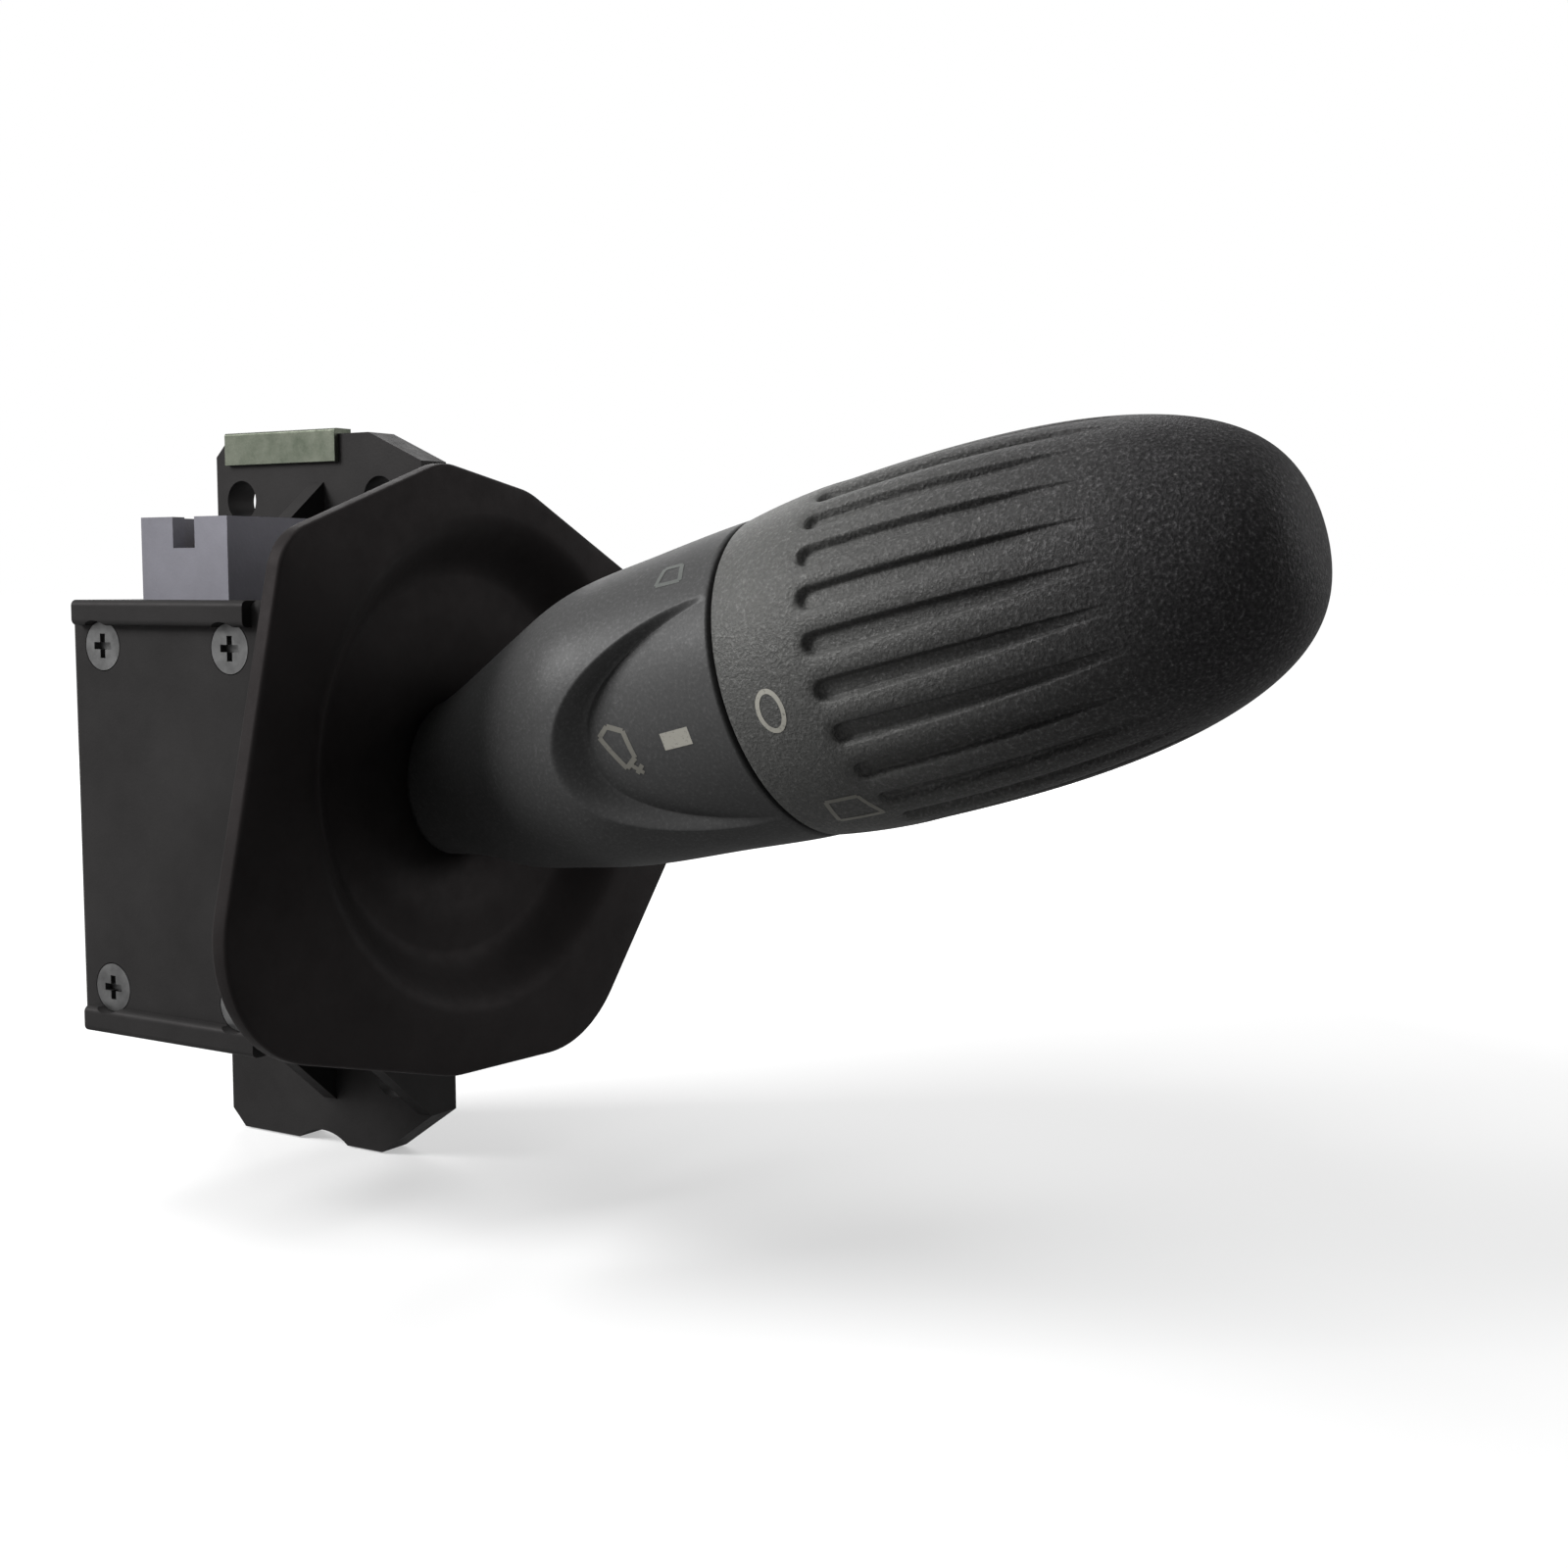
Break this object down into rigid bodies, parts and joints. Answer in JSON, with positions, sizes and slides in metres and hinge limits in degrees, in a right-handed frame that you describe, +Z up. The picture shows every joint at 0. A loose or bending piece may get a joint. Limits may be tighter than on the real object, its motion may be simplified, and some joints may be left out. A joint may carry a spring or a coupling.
{
  "type": "combination stalk switch",
  "caption": "Steering-column stalk switch: fluted twist knob on a tapered arm, dished shutter shield and a gimballed lever in a flanged housing with a plug socket.",
  "frame": {"origin": "on the mounting face, the forward side of the housing's flange, level with the lever's pivot", "axes": "+X outboard along the stalk, +Y forward out of the mounting face (away from the driver), +Z up"},
  "size_m": [0.1341, 0.0676, 0.0806],
  "materials": {
    "knob_plastic": "fine moulded grain",
    "arm_plastic": "fine moulded grain",
    "shield_plastic": "satin",
    "housing_plastic": "satin",
    "connector_plastic": "satin",
    "yoke_plastic": "satin",
    "acetal": "smooth",
    "board": "laminate",
    "lead_sheath": "smooth",
    "plated_steel": "chromate plated",
    "steel": "zinc plated",
    "contact_brass": "bright",
    "die_cast": "as cast"
  },
  "bodies": {
    "housing": {"housing_base": "housing_plastic", "housing_cover": "housing_plastic", "housing_screws": "steel", "lug_plate": "plated_steel", "connector_shroud": "connector_plastic", "terminal_pins": "contact_brass", "contact_board": "board", "contact_tracks": "contact_brass", "detent_cam": "acetal", "pivot_bushes": "contact_brass"},
    "gimbal": {"yoke": "yoke_plastic", "pull_pin": "steel", "lift_spring": "steel"},
    "lift_follower": {"lift_plunger": "acetal"},
    "slider": {"speed_slider": "acetal", "slider_contacts": "contact_brass"},
    "lever": {"lever_core": "die_cast", "stalk_arm": "arm_plastic", "shield": "shield_plastic", "arm_screw": "steel", "knob_spindle": "yoke_plastic", "knob_board": "board", "knob_leads": "lead_sheath", "pull_spring": "steel", "ball_spring": "steel", "retaining_clip": "steel"},
    "pull_follower": {"pull_plunger": "acetal"},
    "knob_ball": {"detent_ball": "steel"},
    "grip": {"knob": "knob_plastic", "knob_rotor": "acetal", "knob_brush": "contact_brass"}
  },
  "joints": [
    {"name": "stalk_lift", "type": "hinge", "parent": "housing", "child": "gimbal", "pos_m": [0.0035, -0.02, 0], "axis": [0, -1, 0], "range_deg": [-16.5, 5.5]},
    {"name": "stalk_pull", "type": "hinge", "parent": "gimbal", "child": "lever", "pos_m": [0.0035, -0.02, 0], "axis": [0.2588, 0, -0.9659], "range_deg": [-6, 6], "stiffness_Nm_per_rad": 3},
    {"name": "knob_twist", "type": "hinge", "parent": "lever", "child": "grip", "pos_m": [0.06194, -0.02, 0.01566], "axis": [-0.9659, 0, -0.2588], "range_deg": [0, 45]},
    {"name": "speed_slide", "type": "slide", "parent": "housing", "child": "slider", "axis": [0, 0, 1], "range_m": [-0.0012, 0.0033]},
    {"name": "lift_follow", "type": "slide", "parent": "gimbal", "child": "lift_follower", "axis": [0.9659, 0, 0.2588], "range_m": [0, 0.0004], "stiffness_N_per_m": 500, "springref_m": -0.001, "deforming": ["lift_spring"]},
    {"name": "pull_follow", "type": "slide", "parent": "lever", "child": "pull_follower", "axis": [0.9659, 0, 0.2588], "range_m": [0, 0.0004], "stiffness_N_per_m": 500, "springref_m": -0.001, "deforming": ["pull_spring"]},
    {"name": "ball_follow", "type": "slide", "parent": "lever", "child": "knob_ball", "axis": [-0.9659, 0, -0.2588], "range_m": [0, 0.0004], "stiffness_N_per_m": 500, "springref_m": -0.001, "deforming": ["ball_spring"]}
  ],
  "couplings": [
    {"joint": "speed_slide", "follows": "stalk_lift", "m_per_rad": -0.0108}
  ]
}
